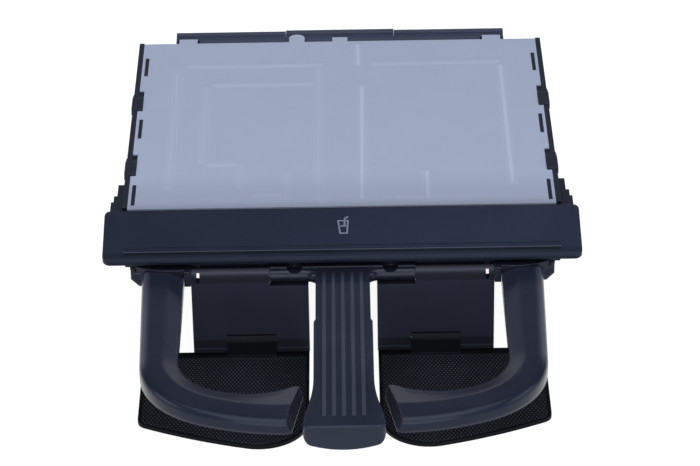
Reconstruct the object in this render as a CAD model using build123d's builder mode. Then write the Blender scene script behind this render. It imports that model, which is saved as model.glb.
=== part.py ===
from build123d import *
import os
from math import acos, cos, pi, radians, sin, tan

# Pull-out cup holder for a dashboard slot, drawn out, with its flap lying open on the tray.
# X runs across the dashboard, +Y into it, +Z up. The origin is the middle of the slot's mouth.

os.makedirs("parts", exist_ok=True)

# Fits
running_gap = 0.3
pin_play = 0.05
seat_gap = 0.1
match = 0.01

# Housing: an open frame with side walls, rear wall, top ledges and guide rails
housing_width = 177.0
housing_height = 28.0
housing_front = 2.6
housing_rear = 159.5
side_wall = 2.1
rear_wall = 3.0
header_depth = 6.4
header_height = 7.6
cover_ledge_width = 4.4
cover_ledge_thickness = 2.2
rail_depth = 1.6
rail_height = 2.5
bottom_ledge_thickness = 2.0
lane_gap = 1.0
rear_corner_width = 13.9
rear_bar_depth = 9.9
rear_bar_thickness = 3.2
rear_corner_top = 7.5
rear_slot_width = 9.8
rear_slot_length = 3.8
clip_front_slope = 1.0
clip_rear_slope = 8.0
clip_rise = 0.5

# Stepped side blocks: how far each step stands out from the side wall, and where it starts
block_steps = ((2.9, 28.3), (4.2, 19.0), (5.2, 14.0))
block_top = 10.0
block_height = 6.5
cheek_width = 4.5
cheek_length = 4.0
ear_wall = 1.3

# Steel cover
cover_thickness = 0.8
cover_front = 0.9
cover_rear_gap = 0.85
slot_pitch = 57.0
slot_first = 12.4
slot_length = 17.0
slot_width = 1.6
slot_edge = 1.2
notch_first = 37.9
notch_length = 19.0
notch_depth = 2.1
bead_width = 2.2
bead_height = 0.45
bead_slope = 50.0
rear_tab_inset = 5.5
rear_tab_width = 8.0
rear_tab_length = 4.2
middle_tab_width = 6.6
middle_tab_length = 4.1
bump_x = -19.0
bump_radius = 3.4
bump_length = 7.4
bead_runs = (
    ((-70.4, 18.0), (-70.4, 118.6)),
    ((69.6, 18.5), (69.6, 122.0)),
    ((-65.0, 126.0), (-9.0, 126.0)),
    ((15.2, 127.0), (68.0, 126.6)),
    ((-9.3, 8.0), (-9.3, 122.0)),
    ((9.2, 8.0), (8.3, 104.0)),
    ((7.9, 126.0), (7.9, 144.5)),
    ((-57.4, 40.0), (-57.4, 105.0)),
    ((-54.0, 108.0), (-13.0, 108.0)),
    ((-54.0, 37.0), (-44.0, 37.0)),
    ((-41.6, 18.0), (-41.6, 34.0)),
    ((-35.0, 11.0), (-25.0, 11.0)),
    ((-22.5, 8.0), (-22.5, 27.0)),
    ((24.0, 8.0), (31.6, 8.0)),
    ((35.0, 8.0), (35.0, 28.0)),
)

# Flap, as it lies open
flap_overhang = 6.5
flap_length = 28.1
flap_thickness = 2.5
flap_wall = 1.3
flap_edge_y = -1.8
flap_edge_z = 15.0
flap_tilt = 16.0
flap_corner = 3.0
flap_lower_radius = 1.6
flap_upper_radius = 0.8
flap_lug_width = 3.7
flap_lug_radius = 2.4
flap_lug_foot = 3.0
hinge_below_edge = 4.0
flap_pin_radius = 1.1
flap_pin_length = 15.2
flap_spring_wall = 1.0
groove_length = 173.6
groove_width = 2.4
groove_depth = 0.5
groove_down = 21.9

# Carriage: top skin, crossbar and tongue
skin_thickness = 2.4
flange_front = -14.0
carriage_rear = 16.5
crossbar_rear = -19.0
crossbar_round = 2.9
crossbar_half = 28.8
scoop_place = (19.0, -26.5)
scoop_radius = 3.1
scoop_depth = 1.8
stop_gap = 1.0
web = 2.0
web_depth = 8.0
tongue_half = 10.7
tongue_step = 0.7
tongue_step_y = -66.5
tongue_flare_y = -108.0
tongue_flare_middle = (13.6, -127.0)
tongue_flare_end = -138.0
tongue_nose_half = 15.3
tongue_front = -141.2
tongue_top = 2.0
tongue_bottom = -8.3
tongue_root_radius = 4.5
tongue_root_bite = 0.1
tongue_corner = 2.6
tongue_low_radius = 4.5
tongue_sag = 3.0
tongue_top_bevel = 0.5
tongue_wall = 2.8
tongue_skin = 2.6
tongue_pocket_rear = -32.0
tongue_cross_ribs = (-58.0, -84.0)
rib_count = 5
rib_pitch = 3.67
rib_width = 1.3
rib_height = 0.5
rib_start = -31.0
rib_end = -134.0

# Arms
arm_pivot_inset = 18.4
arm_pivot_y = -1.7
arm_inner_offset = 5.0
arm_outer_offset = 11.6
rim_radius = 27.0
arm_top = 1.6
arm_bottom = -6.5
arm_boss_radius = 7.4
arm_wall = 2.2
arm_skin = 2.6
arm_rib = 1.2
arm_rib_places = (-48.0, -66.0, -84.0)
arm_hook_rib_length = 30.0
arm_inner_bend = -89.4
arm_outer_bend = -94.0
arm_outer_taper = 2.2
arm_rise_start = -60.0
arm_rise = 2.3
arm_shoulder_inset = 0.3
arm_shoulder_front = -25.0
arm_shoulder_rear = -15.0
arm_shoulder_cut = 3.2
arm_facet_width = 6.0
arm_facet_drop = 2.2
arm_facet_run = 12.0
arm_edge_radius = 2.6
arm_tip_radius = 4.0
arm_end_slope = 2.7
arm_pin_radius = 3.0
arm_pin_head_radius = 5.2
arm_pin_head = 1.6
arm_spring_radius = 4.6
arm_spring_height = 2.4

# Hooked end of an arm: each place as a share of the cup opening's width, and its Y
hook_inner = (0.727, -110.6)
hook_thumb = (0.094, -110.1)
hook_tip_inner = (-0.006, -112.4)
hook_tip_front = (0.073, -136.9)
hook_outer = (0.811, -129.3)
facet_middle = (0.727, -119.0)
facet_end = (0.099, -125.3)
hook_ribs = ((0.769, -122.0), (0.476, -126.0))

# Drop plates and floor plates
drop_hinge_y = -27.0
drop_hinge_z = -1.0
drop_barrel_radius = 3.0
drop_rod_radius = 1.25
drop_inner = 13.6
lug_clearance = 0.2
drop_front = -30.0
drop_thickness = 2.5
drop_bottom = -35.2
knuckle_gap = 0.08
lug_thickness = 2.6
lug_height = 4.2
drop_spring_length = 9.0
drop_spring_radius = 2.3
drop_rod_grip = 12.0
drop_ear = 2.0
drop_stub = 1.3
drop_ledge_depth = 3.3
drop_ledge_height = 1.6
ear_window_width = 1.4
ear_window_height = 4.5
ear_window_roof = 0.7
floor_hinge_y = -28.6
floor_hinge_z = -30.0
floor_lug_radius = 2.8
floor_lug_inset = 13.4
floor_rod_radius = 1.2
floor_boss_width = 6.6
floor_spring_radius = 2.0
floor_spring_length = 9.0
floor_inner = 13.8
floor_outer_inset = 5.9
floor_top = -36.0
floor_thickness = 1.5
floor_rear = -22.5
floor_wing_rear = -28.3
floor_side_front = -79.4
floor_middle_front = -93.2
floor_inner_front = -100.8
floor_outer_corner = 5.0
floor_inner_corner = 19.0
floor_rim = 1.3
floor_recess = 0.4

# Damper and rack
gear_module = 1.0
pinion_teeth = 14
pressure_angle = 20.0
rack_backing = 0.55
backlash = 0.14
rack_height = 4.0
pinion_width = 3.6
pinion_y = 8.8
pinion_shaft_radius = 1.5
damper_radius = 5.2

# Rolled band spring that drives the tray out
spool_y = 9.0
spool_z = -5.6
spool_radius = 4.9
spool_width = 12.0
spool_pin_radius = 1.25
spool_lug_width = 2.0

# Latch
latch_half = 23.9
latch_overhang = 1.0
latch_bottom = 4.0
latch_wall = 2.0
latch_lip_height = 0.9
latch_lip_depth = 3.5
striker_radius = 1.5
striker_height = 4.6
striker_y = 13.5
hook_pivot_x = 6.5
hook_pivot_inset = 4.5
hook_thickness = 2.6
hook_width = 3.0
hook_boss_radius = 2.25
hook_nose_gap = 0.7
hook_nose_length = 2.8
latch_pin_radius = 1.2
latch_spring_height = 2.2
latch_spring_radius = 2.1

# Worked out from the sizes above
top_z = housing_height / 2
bottom_z = -housing_height / 2
half_width = housing_width / 2
inner_half = half_width - side_wall
inner_rear = housing_rear - rear_wall
rear_bar_front = housing_rear - rear_bar_depth
cover_rear = rear_bar_front - cover_rear_gap
rear_bar_half = inner_half - rear_corner_width
rear_tab_x = rear_bar_half - rear_tab_inset
flap_width = housing_width + 2 * flap_overhang
ledge_z = top_z - cover_thickness
skin_bottom = 0.0
skin_top = skin_bottom + skin_thickness
flange_half = inner_half - running_gap
skin_half = inner_half - rail_depth - running_gap
arm_pivot_x = inner_half - arm_pivot_inset
arm_inner = arm_pivot_x - arm_inner_offset
arm_outer = arm_pivot_x + arm_outer_offset
arm_shoulder = skin_half - arm_shoulder_inset
cup_opening = arm_inner - tongue_nose_half
travel = inner_rear - stop_gap - carriage_rear
guide_length = inner_rear - housing_front
bottom_panel_front = drop_hinge_y + drop_barrel_radius + travel + 2 * lane_gap
tab_places = [slot_first + i * slot_pitch for i in range(3)]
clip_places = [notch_first + i * slot_pitch for i in range(2)]
cover_half = inner_half - seat_gap
slot_x = cover_half - slot_edge - slot_width / 2
flap_plane = Plane(
    origin=(0, flap_edge_y, flap_edge_z),
    x_dir=(1, 0, 0),
    z_dir=(0, -sin(radians(flap_tilt)), cos(radians(flap_tilt))),
)
ear_radius = flap_pin_radius + ear_wall
hinge_behind_face = flap_thickness + ear_radius + running_gap
flap_hinge = flap_plane.from_local_coords(Vector(0, -hinge_below_edge, -hinge_behind_face))
cheek_outer = half_width + block_steps[-1][0]
cheek_inner = cheek_outer - cheek_width
flap_lug_outer = cheek_inner - running_gap
gear_radius = gear_module * pinion_teeth / 2
rack_pitch = pi * gear_module
dedendum = 1.25 * gear_module
rack_line = inner_half - rack_backing - dedendum
rack_bottom = bottom_z + bottom_ledge_thickness + running_gap
pinion_x = rack_line - gear_radius
pinion_z = rack_bottom + rack_height / 2
swing_radius = rim_radius + running_gap
crossbar_height = skin_bottom - drop_hinge_z + crossbar_round
lug_outer = arm_inner - lug_clearance
lug_inner = lug_outer - lug_thickness
drop_outer = lug_inner - knuckle_gap
ear_window_outer = drop_outer - drop_ear
ear_window_inner = ear_window_outer - ear_window_width
floor_lug = (drop_inner + floor_lug_inset, drop_outer - floor_lug_inset)
floor_outer = inner_half - floor_outer_inset
latch_rear = housing_rear + latch_overhang
latch_lip_front = latch_rear - latch_lip_depth
hook_pivot_y = latch_rear - hook_pivot_inset
hook_nose_front = striker_y + travel - striker_radius - hook_nose_gap - hook_nose_length
hook_z = latch_bottom + running_gap
web_outer = ear_window_inner - running_gap


def write(piece, name):
    """Label a finished piece and write it as a STEP file."""
    piece.label = name
    export_step(piece, f"parts/{name}.step")


def write_pair(right, name):
    """Write a right-hand piece and its mirror image on the left."""
    with BuildPart() as left:
        mirror(right, about=Plane.YZ)
    write(right, f"right_{name}")
    write(left.part, f"left_{name}")


def across(place):
    """Point of an arm's hook, from its share of the cup opening's width and its Y."""
    share, y = place
    return (tongue_nose_half + share * cup_opening, y)


def rod_between(x_from, x_to, y, z):
    """Plane at the start of a rod that lies along X, and the rod's length."""
    return Plane((x_from, y, z), x_dir=(0, 1, 0), z_dir=(1, 0, 0)), x_to - x_from


# Housing: side channels drawn as one section, with the walls, ledges and rails
with BuildPart() as housing:
    with BuildSketch(Plane.XZ.offset(-housing_front)):
        corner = (Align.MIN, Align.MIN)
        with Locations((inner_half, bottom_z)):
            Rectangle(side_wall, housing_height, align=corner)
        with Locations((inner_half - cover_ledge_width, ledge_z - cover_ledge_thickness)):
            Rectangle(cover_ledge_width, cover_ledge_thickness, align=corner)
        with Locations((inner_half - rail_depth, skin_top + running_gap)):
            Rectangle(rail_depth, rail_height, align=corner)
        with Locations((inner_half - rail_depth, skin_bottom - running_gap - rail_height)):
            Rectangle(rail_depth, rail_height, align=corner)
        with Locations((floor_outer + lane_gap, bottom_z)):
            Rectangle(inner_half - floor_outer - lane_gap, bottom_ledge_thickness, align=corner)
        mirror(about=Plane.YZ)
    extrude(amount=-guide_length)
    # Rear wall, header over the mouth, rear bar under the cover's tabs, and bottom panel
    with BuildSketch(Plane.YZ.offset(-inner_half - side_wall)):
        with Locations((inner_rear, bottom_z)):
            Rectangle(rear_wall, housing_height, align=corner)
    extrude(amount=housing_width)
    with BuildSketch(Plane.YZ.offset(-inner_half)):
        with Locations((housing_front, ledge_z - header_height)):
            Rectangle(header_depth, header_height, align=corner)
        with Locations((bottom_panel_front, bottom_z)):
            Rectangle(inner_rear - bottom_panel_front, bottom_ledge_thickness, align=corner)
    extrude(amount=2 * inner_half)
    with BuildSketch(Plane.YZ.offset(-rear_bar_half)):
        with Locations((rear_bar_front, ledge_z - rear_bar_thickness)):
            Rectangle(inner_rear - rear_bar_front, rear_bar_thickness - seat_gap, align=corner)
    extrude(amount=2 * rear_bar_half)
    # The rear corners stand lower than the bar
    with BuildSketch(Plane.XY.offset(rear_corner_top)):
        for side in (-1, 1):
            with Locations((side * (rear_bar_half + half_width) / 2, (rear_bar_front + housing_rear) / 2)):
                Rectangle(half_width - rear_bar_half, housing_rear - rear_bar_front)
    extrude(amount=housing_height, mode=Mode.SUBTRACT)
    # Opening for the latch block and through slots beside the cover's rear tabs
    with BuildSketch(Plane.XY.offset(latch_bottom)):
        with Locations((0, rear_bar_front)):
            latch_room = 2 * (latch_half + seat_gap)
            Rectangle(latch_room, latch_rear - rear_bar_front, align=(Align.CENTER, Align.MIN))
    extrude(amount=housing_height, mode=Mode.SUBTRACT)
    with BuildSketch(Plane.XY.offset(rear_corner_top)):
        with Locations((rear_tab_x, rear_bar_front), (-rear_tab_x, rear_bar_front)):
            Rectangle(rear_slot_width, rear_slot_length, align=(Align.CENTER, Align.MIN))
    extrude(amount=housing_height, mode=Mode.SUBTRACT)
    # Stepped side blocks, with the ears for the flap's pins
    with BuildSketch(Plane.XY.offset(block_top)):
        with BuildLine():
            step_points = [(half_width - side_wall / 2, block_steps[0][1])]
            step_ends = [start for _, start in block_steps[1:]] + [housing_front]
            for (step_out, step_start), step_end in zip(block_steps, step_ends):
                step_x = half_width + step_out
                step_points += [(step_x, step_start), (step_x, step_end)]
            step_points.append((half_width - side_wall / 2, housing_front))
            Polyline(*step_points, close=True)
        make_face()
        mirror(about=Plane.YZ)
    extrude(amount=-block_height)
    with BuildSketch(Plane.YZ.offset(cheek_inner)):
        with BuildLine():
            ear_low = (flap_hinge.Y, flap_hinge.Z - ear_radius)
            ear_high = (flap_hinge.Y, flap_hinge.Z + ear_radius)
            ThreePointArc(ear_low, (flap_hinge.Y - ear_radius, flap_hinge.Z), ear_high)
            Polyline(ear_high, (housing_front, block_top), (housing_front, block_top - block_height), ear_low)
        make_face()
        with Locations((housing_front, block_top - block_height)):
            Rectangle(cheek_length, block_height, align=corner)
    extrude(amount=cheek_width)
    mirror(about=Plane.YZ)
    # Tabs that stand in the cover's slots, and the clips in its notches
    with BuildSketch(Plane.XY.offset(ledge_z)):
        for side in (-1, 1):
            with Locations(*[(side * slot_x, place) for place in tab_places]):
                Rectangle(slot_width - 2 * seat_gap, slot_length - 2 * seat_gap)
    extrude(amount=cover_thickness)
    with BuildSketch(Plane.YZ.offset(cover_half - notch_depth + seat_gap)):
        for place in clip_places:
            with BuildLine():
                clip_low = place - notch_length / 2 + 2 * seat_gap
                clip_high = place + notch_length / 2 - 2 * seat_gap
                Polyline(
                    (clip_low, ledge_z - cover_ledge_thickness / 2),
                    (clip_low + clip_front_slope, top_z + clip_rise),
                    (clip_high - clip_rear_slope, top_z + clip_rise),
                    (clip_high, ledge_z - cover_ledge_thickness / 2),
                    close=True,
                )
            make_face()
    extrude(amount=notch_depth + side_wall + clip_rise)
    mirror(about=Plane.YZ)
    # Rack for the damper's pinion, low on the right-hand wall
    with BuildSketch(Plane.XY.offset(rack_bottom)):
        rack_root = rack_line + dedendum
        tooth_count = int((inner_rear - pinion_y + rack_pitch) / rack_pitch)
        with Locations((rack_root, housing_front)):
            Rectangle(inner_half - rack_root, guide_length, align=corner)
        tooth_slope = tan(radians(pressure_angle))
        tooth_base = rack_pitch / 2 - backlash / 2 + 2 * dedendum * tooth_slope
        with Locations(*[(rack_root, pinion_y + (i - 0.5) * rack_pitch) for i in range(tooth_count)]):
            Trapezoid(
                tooth_base,
                gear_module + dedendum,
                90 - pressure_angle,
                rotation=90,
                align=(Align.CENTER, Align.MIN),
            )
    extrude(amount=rack_height)
    # Bores for the flap's pins
    with BuildSketch(Plane.YZ.offset(-cheek_outer)):
        with Locations((flap_hinge.Y, flap_hinge.Z)):
            Circle(flap_pin_radius + pin_play)
    extrude(amount=2 * cheek_outer, mode=Mode.SUBTRACT)
write(housing.part, "housing")

# Steel cover: flat sheet with slots, notches, rear tabs and pressed beads
with BuildPart() as steel_cover:
    with BuildSketch(Plane.XY.offset(ledge_z)):
        with Locations((0, cover_front)):
            Rectangle(2 * cover_half, cover_rear - cover_front, align=(Align.CENTER, Align.MIN))
        with Locations((rear_tab_x, cover_rear), (-rear_tab_x, cover_rear)):
            Rectangle(rear_tab_width, 2 * rear_tab_length)
        with Locations((0, cover_rear)):
            Rectangle(middle_tab_width, 2 * middle_tab_length)
        with Locations((bump_x, cover_rear)):
            SlotOverall(2 * bump_length, 2 * bump_radius, rotation=90)
        for side in (-1, 1):
            with Locations(*[(side * slot_x, place) for place in tab_places]):
                Rectangle(slot_width, slot_length, mode=Mode.SUBTRACT)
            with Locations(*[(side * cover_half, place) for place in clip_places]):
                Rectangle(2 * notch_depth, notch_length, mode=Mode.SUBTRACT)
    extrude(amount=cover_thickness)
    for start, end in bead_runs:
        run = Vector(*end) - Vector(*start)
        with BuildSketch(Plane.XY.offset(top_z)):
            with Locations((Vector(*start) + Vector(*end)) / 2):
                bead_turn = Vector(1, 0).get_signed_angle(run)
                Rectangle(run.length + bead_width, bead_width, rotation=bead_turn)
        extrude(amount=bead_height, taper=bead_slope)
write(steel_cover.part, "steel_cover")

# Flap: rounded plate, hollow behind, with a long groove and two hinge lugs
with BuildPart() as flap:
    flap_end = Plane(
        flap_plane.from_local_coords(Vector(-flap_width / 2, 0, 0)),
        x_dir=flap_plane.y_dir,
        z_dir=(1, 0, 0),
    )
    with BuildSketch(flap_end) as flap_section:
        Rectangle(flap_length, flap_thickness, align=(Align.MAX, Align.MAX))
        fillet(flap_section.vertices().sort_by(Axis.X)[0:2].sort_by(Axis.Y)[-1], radius=flap_lower_radius)
        fillet(flap_section.vertices().sort_by(Axis.X)[-2:].sort_by(Axis.Y)[-1], radius=flap_upper_radius)
    extrude(amount=flap_width)
    with BuildSketch(flap_plane):
        with Locations((0, -flap_length / 2)):
            RectangleRounded(flap_width, flap_length, flap_corner)
    extrude(amount=-flap_thickness, mode=Mode.INTERSECT)
    with BuildSketch(flap_plane):
        with Locations((0, -groove_down)):
            SlotOverall(groove_length, groove_width)
    extrude(amount=-groove_depth, mode=Mode.SUBTRACT)
    with BuildSketch(flap_plane.offset(-flap_thickness)):
        with Locations((0, -flap_length / 2)):
            RectangleRounded(flap_width - 2 * flap_wall, flap_length - 2 * flap_wall, flap_corner / 2)
    extrude(amount=flap_thickness - flap_wall - groove_depth, mode=Mode.SUBTRACT)
    lug_side = Plane(
        flap_plane.from_local_coords(Vector(flap_lug_outer, 0, 0)),
        x_dir=flap_plane.y_dir,
        z_dir=(1, 0, 0),
    )
    with BuildSketch(lug_side):
        with BuildLine():
            lug_left = (-hinge_below_edge - flap_lug_radius, -hinge_behind_face)
            lug_right = (-hinge_below_edge + flap_lug_radius, -hinge_behind_face)
            ThreePointArc(lug_left, (-hinge_below_edge, -hinge_behind_face - flap_lug_radius), lug_right)
            lug_foot = (lug_left[0] - flap_lug_foot, -flap_wall)
            Polyline(lug_right, (lug_right[0], -flap_wall), lug_foot, lug_left)
        make_face()
        with Locations((-hinge_below_edge, -hinge_behind_face)):
            Circle(flap_pin_radius + pin_play, mode=Mode.SUBTRACT)
    extrude(amount=-flap_lug_width)
    mirror(about=Plane.YZ)
write(flap.part, "flap")

# Flap pins: steel rods held in the housing's ears
with BuildPart() as flap_pin:
    pin_end, pin_run = rod_between(cheek_outer - flap_pin_length, cheek_outer, flap_hinge.Y, flap_hinge.Z)
    with BuildSketch(pin_end):
        Circle(flap_pin_radius)
    extrude(amount=pin_run)
write_pair(flap_pin.part, "flap_pin")

# Flap springs: close-wound torsion springs on the pins, beside the lugs
with BuildPart() as flap_spring:
    spring_start = cheek_outer - flap_pin_length + running_gap
    spring_end = flap_lug_outer - flap_lug_width - running_gap
    spring_plane, spring_run = rod_between(spring_start, spring_end, flap_hinge.Y, flap_hinge.Z)
    with BuildSketch(spring_plane):
        Circle(flap_pin_radius + flap_spring_wall)
        Circle(flap_pin_radius + pin_play, mode=Mode.SUBTRACT)
    extrude(amount=spring_run)
write_pair(flap_spring.part, "flap_spring")

# Tongue of the carriage: stepped sides, a flared nose and an underside that sags in the middle
with BuildPart() as tongue:
    with BuildSketch(Plane.XY.offset(tongue_bottom)) as tongue_plan:
        with BuildLine():
            step_half = tongue_half + tongue_step
            Polyline(
                (0, crossbar_rear),
                (tongue_half, crossbar_rear),
                (tongue_half, tongue_step_y),
                (step_half, tongue_step_y - tongue_step),
                (step_half, tongue_flare_y),
            )
            flare = TangentArc((step_half, tongue_flare_y), tongue_flare_middle, tangent=(0, -1))
            TangentArc(flare @ 1, (tongue_nose_half, tongue_flare_end), tangent=flare % 1)
            Polyline(
                (tongue_nose_half, tongue_flare_end),
                (tongue_nose_half, tongue_front),
                (0, tongue_front),
                (0, crossbar_rear),
            )
        make_face()
        mirror(about=Plane.YZ)
        nose_corners = tongue_plan.vertices().sort_by(SortBy.DISTANCE, reverse=True)[0:2]
        fillet(nose_corners, radius=tongue_corner)
    extrude(amount=tongue_top - tongue_bottom)
    with BuildSketch(Plane.XZ.offset(-crossbar_rear)) as tongue_section:
        with BuildLine():
            low_side = tongue_bottom + tongue_sag
            sag = ThreePointArc(
                (-tongue_nose_half, low_side), (0, tongue_bottom), (tongue_nose_half, low_side)
            )
            Polyline(sag @ 1, (tongue_nose_half, tongue_top), (-tongue_nose_half, tongue_top), sag @ 0)
        make_face()
        fillet(tongue_section.vertices().group_by(Axis.Y)[0], radius=tongue_low_radius)
    extrude(amount=crossbar_rear - tongue_front, mode=Mode.INTERSECT)
    nose_edges = tongue.edges().filter_by_position(Axis.Y, 2 * tongue_front, tongue_step_y - tongue_step)
    chamfer(
        nose_edges.filter_by_position(Axis.Z, tongue_top - match, tongue_top + match),
        length=tongue_top_bevel,
    )

# Carriage: top skin with round corners over the arms, crossbar, tongue and inner webs
with BuildPart() as carriage:
    with BuildSketch(Plane.XY.offset(skin_bottom)):
        with Locations((arm_pivot_x, arm_pivot_y), (-arm_pivot_x, arm_pivot_y)):
            Circle(rim_radius)
        with Locations((0, carriage_rear)):
            Rectangle(2 * skin_half, 3 * rim_radius, align=(Align.CENTER, Align.MAX), mode=Mode.INTERSECT)
            Rectangle(2 * flange_half, carriage_rear - flange_front, align=(Align.CENTER, Align.MAX))
            Rectangle(2 * lug_outer, carriage_rear - drop_hinge_y, align=(Align.CENTER, Align.MAX))
        for side in (-1, 1):
            window_half = (lug_inner - crossbar_half) / 2
            window_rear = drop_hinge_y + drop_barrel_radius + running_gap
            with Locations((side * (crossbar_half + window_half), window_rear)):
                Rectangle(
                    2 * window_half,
                    2 * drop_barrel_radius + lane_gap,
                    align=(Align.CENTER, Align.MAX),
                    mode=Mode.SUBTRACT,
                )
    extrude(amount=skin_thickness)
    # Crossbar, whose round front turns into the tongue's sides
    with BuildSketch(Plane.YZ.offset(-crossbar_half)):
        with Locations((drop_hinge_y, skin_bottom)):
            Rectangle(crossbar_rear - drop_hinge_y, crossbar_height, align=(Align.MIN, Align.MAX))
    extrude(amount=2 * crossbar_half)
    root_x = tongue_half + tongue_root_radius - tongue_root_bite
    front_plane, front_run = rod_between(root_x, crossbar_half, drop_hinge_y, drop_hinge_z)
    with BuildSketch(front_plane):
        Circle(crossbar_round)
    extrude(amount=front_run)
    with BuildSketch(front_plane):
        Circle(crossbar_round)
    root_y = drop_hinge_y - crossbar_round - tongue_root_radius
    revolve(axis=Axis((root_x, root_y, 0), (0, 0, 1)), revolution_arc=90)
    # Outer lugs, rear wall and webs under the skin
    with BuildSketch(Plane.YZ.offset(lug_inner)):
        with Locations((drop_hinge_y, drop_hinge_z)):
            Circle(drop_barrel_radius)
        lug_front = drop_hinge_y - drop_barrel_radius
        with Locations((lug_front, skin_top)):
            Rectangle(crossbar_rear - lug_front, skin_thickness + lug_height, align=(Align.MIN, Align.MAX))
    extrude(amount=lug_thickness)
    with BuildSketch(Plane.XY.offset(skin_bottom)):
        with Locations((0, carriage_rear)):
            Rectangle(2 * web_outer, web, align=(Align.CENTER, Align.MAX))
        with Locations((web_outer, carriage_rear)):
            Rectangle(web, carriage_rear - crossbar_rear, align=(Align.MAX, Align.MAX))
        with Locations((crossbar_half, carriage_rear)):
            Rectangle(web, carriage_rear - crossbar_rear, align=(Align.MAX, Align.MAX))
        with Locations((spool_width / 2 + running_gap, spool_y)):
            Rectangle(spool_lug_width, 2 * spool_radius, align=(Align.MIN, Align.CENTER))
        mirror(about=Plane.YZ)
    extrude(amount=-web_depth)
    mirror(about=Plane.YZ)
    # Round scoops in the crossbar's top, and the tongue with a ribbed pocket underneath
    with BuildSketch(Plane.XY.offset(skin_top)):
        with Locations(scoop_place):
            Circle(scoop_radius)
        mirror(about=Plane.YZ)
    extrude(amount=-scoop_depth, mode=Mode.SUBTRACT)
    add(tongue.part)
    with BuildSketch(Plane.XY.offset(tongue_bottom)):
        with Locations((0, tongue_pocket_rear)):
            pocket_length = tongue_pocket_rear - tongue_front - 2 * tongue_wall
            Rectangle(2 * (tongue_half - tongue_wall), pocket_length, align=(Align.CENTER, Align.MAX))
        with Locations(*[(0, place) for place in tongue_cross_ribs]):
            Rectangle(2 * tongue_half, web, mode=Mode.SUBTRACT)
    extrude(amount=tongue_top - tongue_skin - tongue_bottom, mode=Mode.SUBTRACT)
    # Grip ribs along the tongue
    with BuildSketch(Plane.XY.offset(tongue_top)):
        with Locations((0, (rib_start + rib_end) / 2)):
            with GridLocations(rib_pitch, 1, rib_count, 1):
                Rectangle(rib_width, rib_start - rib_end)
    extrude(amount=rib_height)
    # Bores for the hinge rods, the arm pins and the spool's pin, and the striker for the latch
    rod_plane, rod_run = rod_between(-lug_outer, lug_outer, drop_hinge_y, drop_hinge_z)
    with BuildSketch(rod_plane):
        Circle(drop_rod_radius + pin_play)
    extrude(amount=rod_run, mode=Mode.SUBTRACT)
    with BuildSketch(Plane.XY.offset(skin_bottom)):
        with Locations((arm_pivot_x, arm_pivot_y), (-arm_pivot_x, arm_pivot_y)):
            Circle(arm_pin_radius)
    extrude(amount=skin_thickness / 2, mode=Mode.SUBTRACT)
    spool_plane, spool_run = rod_between(-spool_width, spool_width, spool_y, spool_z)
    with BuildSketch(spool_plane):
        Circle(spool_pin_radius + pin_play)
    extrude(amount=spool_run, mode=Mode.SUBTRACT)
    with BuildSketch(Plane.XY.offset(skin_top)):
        with Locations((0, striker_y)):
            Circle(striker_radius)
    extrude(amount=striker_height)
write(carriage.part, "carriage")

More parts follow.
